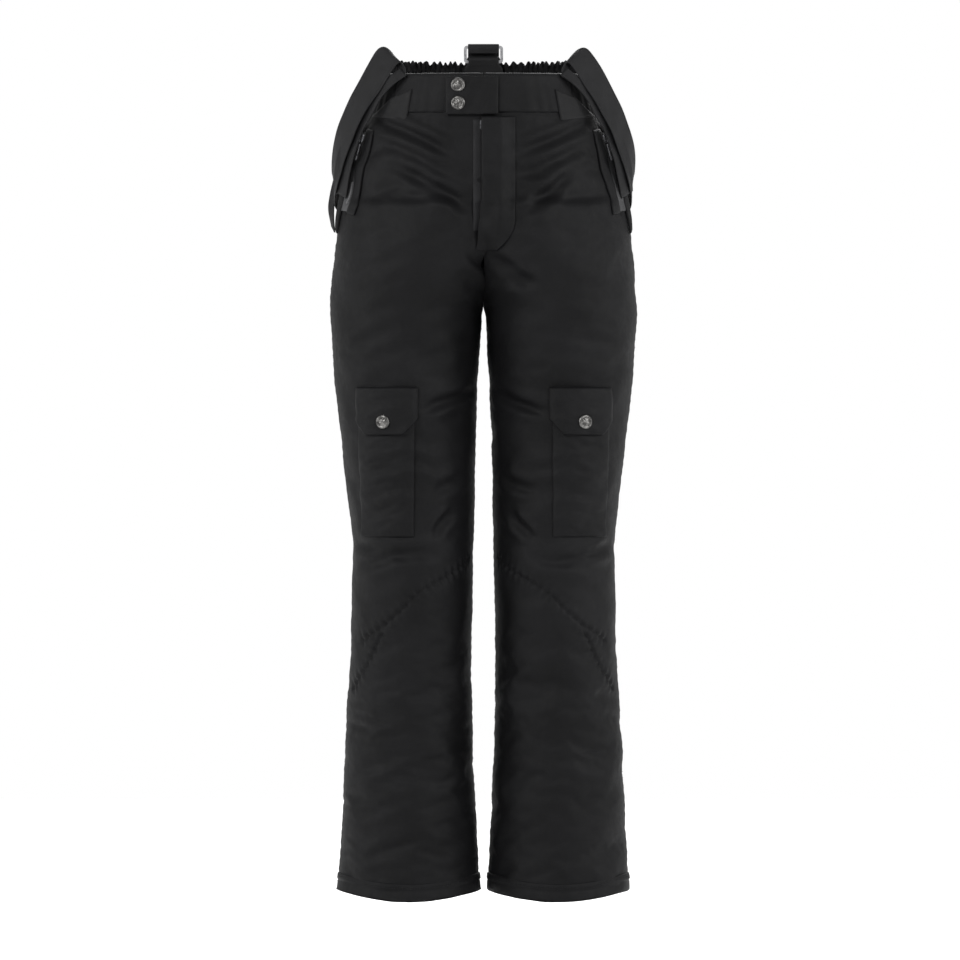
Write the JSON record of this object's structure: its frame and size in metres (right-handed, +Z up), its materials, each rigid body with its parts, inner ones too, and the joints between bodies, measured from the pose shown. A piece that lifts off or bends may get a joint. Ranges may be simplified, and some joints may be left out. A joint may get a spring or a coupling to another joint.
{
  "type": "ski trousers",
  "caption": "Insulated ski trousers with elastic braces, gathered back waist, snap waist tab, fly flap, zipped hand pockets and flapped cargo pockets.",
  "frame": {"origin": "middle of the waist opening, level with the top edge of the front waistband", "axes": "+Z up to the wearer's head, -Y to the front, +X to the wearer's left"},
  "size_m": [0.384, 0.2792, 1.0736],
  "materials": {
    "shell": "matt woven nylon, padded",
    "waist_elastic": "gathered woven nylon over elastic",
    "webbing": "ribbed elastic webbing",
    "tab_fabric": "coated nylon",
    "lining": "thin taffeta",
    "zip_tape": "woven tape",
    "zip_teeth": "moulded teeth",
    "zip_slider": "dark lacquered metal",
    "snap_metal": "antiqued gunmetal",
    "ring_metal": "dull nickel",
    "buckle_plastic": "moulded"
  },
  "bodies": {
    "root": {"front_panel_left": "shell", "front_panel_right": "shell", "back_panel_left": "shell", "back_panel_right": "shell", "waistband_front_left": "shell", "waistband_front_right": "shell", "hip_sleeve_left": "shell", "hip_sleeve_right": "shell", "hand_pocket_tape_left": "zip_tape", "hand_pocket_tape_right": "zip_tape", "hand_pocket_teeth_left": "zip_teeth", "hand_pocket_teeth_right": "zip_teeth", "hand_pocket_bag_left": "lining", "hand_pocket_bag_right": "lining", "brace_anchor_left": "tab_fabric", "brace_anchor_right": "tab_fabric", "waistband_back": "waist_elastic", "hanger_loop": "shell", "fly_zip_tapes": "zip_tape", "fly_zip_teeth": "zip_teeth", "fly_shield": "lining", "waist_studs": "snap_metal", "brace_back_tab": "tab_fabric", "brace_ring": "ring_metal", "brace_back_strap": "webbing"},
    "fly_flap": {"fly_flap": "shell"},
    "waist_tab": {"waist_tab": "shell", "waist_tab_snaps": "snap_metal"},
    "fly_slider": {"fly_zip_slider": "zip_slider", "fly_zip_pull": "zip_slider"},
    "pocket_slider_left": {"hand_pocket_slider_left": "zip_slider"},
    "pocket_pull_left": {"hand_pocket_pull_left": "zip_slider"},
    "brace_left": {"brace_strap_left": "webbing", "brace_adjuster_left": "buckle_plastic"},
    "thigh_left": {"thigh_front_left": "shell", "thigh_back_left": "shell", "cargo_pocket_left": "shell", "cargo_stud_left": "snap_metal", "knee_sleeve_left": "shell"},
    "cargo_flap_left": {"cargo_flap_left": "shell", "cargo_snap_left": "snap_metal"},
    "shin_left": {"shin_front_left": "shell", "shin_back_left": "shell", "hem_left": "shell", "snow_cuff_left": "lining"},
    "pocket_slider_right": {"hand_pocket_slider_right": "zip_slider"},
    "pocket_pull_right": {"hand_pocket_pull_right": "zip_slider"},
    "brace_right": {"brace_strap_right": "webbing", "brace_adjuster_right": "buckle_plastic"},
    "thigh_right": {"thigh_front_right": "shell", "thigh_back_right": "shell", "cargo_pocket_right": "shell", "cargo_stud_right": "snap_metal", "knee_sleeve_right": "shell"},
    "cargo_flap_right": {"cargo_flap_right": "shell", "cargo_snap_right": "snap_metal"},
    "shin_right": {"shin_front_right": "shell", "shin_back_right": "shell", "hem_right": "shell", "snow_cuff_right": "lining"}
  },
  "joints": [
    {"name": "hip_swing_left", "type": "hinge", "parent": "root", "child": "thigh_left", "pos_m": [0.09368, -0.00321, -0.341], "axis": [-1, 0, 0], "range_deg": [-10, 30], "deforming": ["hip_sleeve_left"]},
    {"name": "knee_bend_left", "type": "hinge", "parent": "thigh_left", "child": "shin_left", "pos_m": [0.089, 0.015, -0.655], "axis": [1, 0, 0], "range_deg": [0, 60], "deforming": ["knee_sleeve_left"]},
    {"name": "cargo_flap_lift_left", "type": "hinge", "parent": "thigh_left", "child": "cargo_flap_left", "pos_m": [0.12785, -0.10919, -0.39256], "axis": [-0.9437, -0.3309, 0], "range_deg": [0, 110]},
    {"name": "pocket_zip_slide_left", "type": "slide", "parent": "root", "child": "pocket_slider_left", "axis": [0.2471, -0.0296, -0.9685], "range_m": [0, 0.084]},
    {"name": "pocket_pull_swing_left", "type": "hinge", "parent": "pocket_slider_left", "child": "pocket_pull_left", "pos_m": [0.15508, -0.04078, -0.08734], "axis": [-0.4503, -0.8886, -0.0877], "range_deg": [0, 100]},
    {"name": "brace_swing_left", "type": "hinge", "parent": "root", "child": "brace_left", "pos_m": [0.023, 0.15, -0.058], "axis": [0.3416, -0.8966, 0.2818], "range_deg": [0, 100]},
    {"name": "hip_swing_right", "type": "hinge", "parent": "root", "child": "thigh_right", "pos_m": [-0.09368, -0.00321, -0.341], "axis": [-1, 0, 0], "range_deg": [-10, 30], "deforming": ["hip_sleeve_right"]},
    {"name": "knee_bend_right", "type": "hinge", "parent": "thigh_right", "child": "shin_right", "pos_m": [-0.089, 0.015, -0.655], "axis": [1, 0, 0], "range_deg": [0, 60], "deforming": ["knee_sleeve_right"]},
    {"name": "cargo_flap_lift_right", "type": "hinge", "parent": "thigh_right", "child": "cargo_flap_right", "pos_m": [-0.12785, -0.10919, -0.39256], "axis": [-0.9437, 0.3309, 0], "range_deg": [0, 110]},
    {"name": "pocket_zip_slide_right", "type": "slide", "parent": "root", "child": "pocket_slider_right", "axis": [-0.2471, -0.0296, -0.9685], "range_m": [0, 0.084]},
    {"name": "pocket_pull_swing_right", "type": "hinge", "parent": "pocket_slider_right", "child": "pocket_pull_right", "pos_m": [-0.15508, -0.04078, -0.08734], "axis": [-0.4503, 0.8886, 0.0877], "range_deg": [0, 100]},
    {"name": "brace_swing_right", "type": "hinge", "parent": "root", "child": "brace_right", "pos_m": [-0.023, 0.15, -0.058], "axis": [0.3416, 0.8966, -0.2818], "range_deg": [0, 100]},
    {"name": "waist_tab_open", "type": "hinge", "parent": "root", "child": "waist_tab", "pos_m": [0.018, -0.10151, -0.028], "axis": [0, 0, 1], "range_deg": [0, 85]},
    {"name": "fly_flap_open", "type": "hinge", "parent": "root", "child": "fly_flap", "pos_m": [0.04, -0.11796, -0.14], "axis": [0, 0, 1], "range_deg": [0, 85]},
    {"name": "fly_zip_slide", "type": "slide", "parent": "root", "child": "fly_slider", "axis": [0, -0.0549, -0.9985], "range_m": [0, 0.1]}
  ]
}
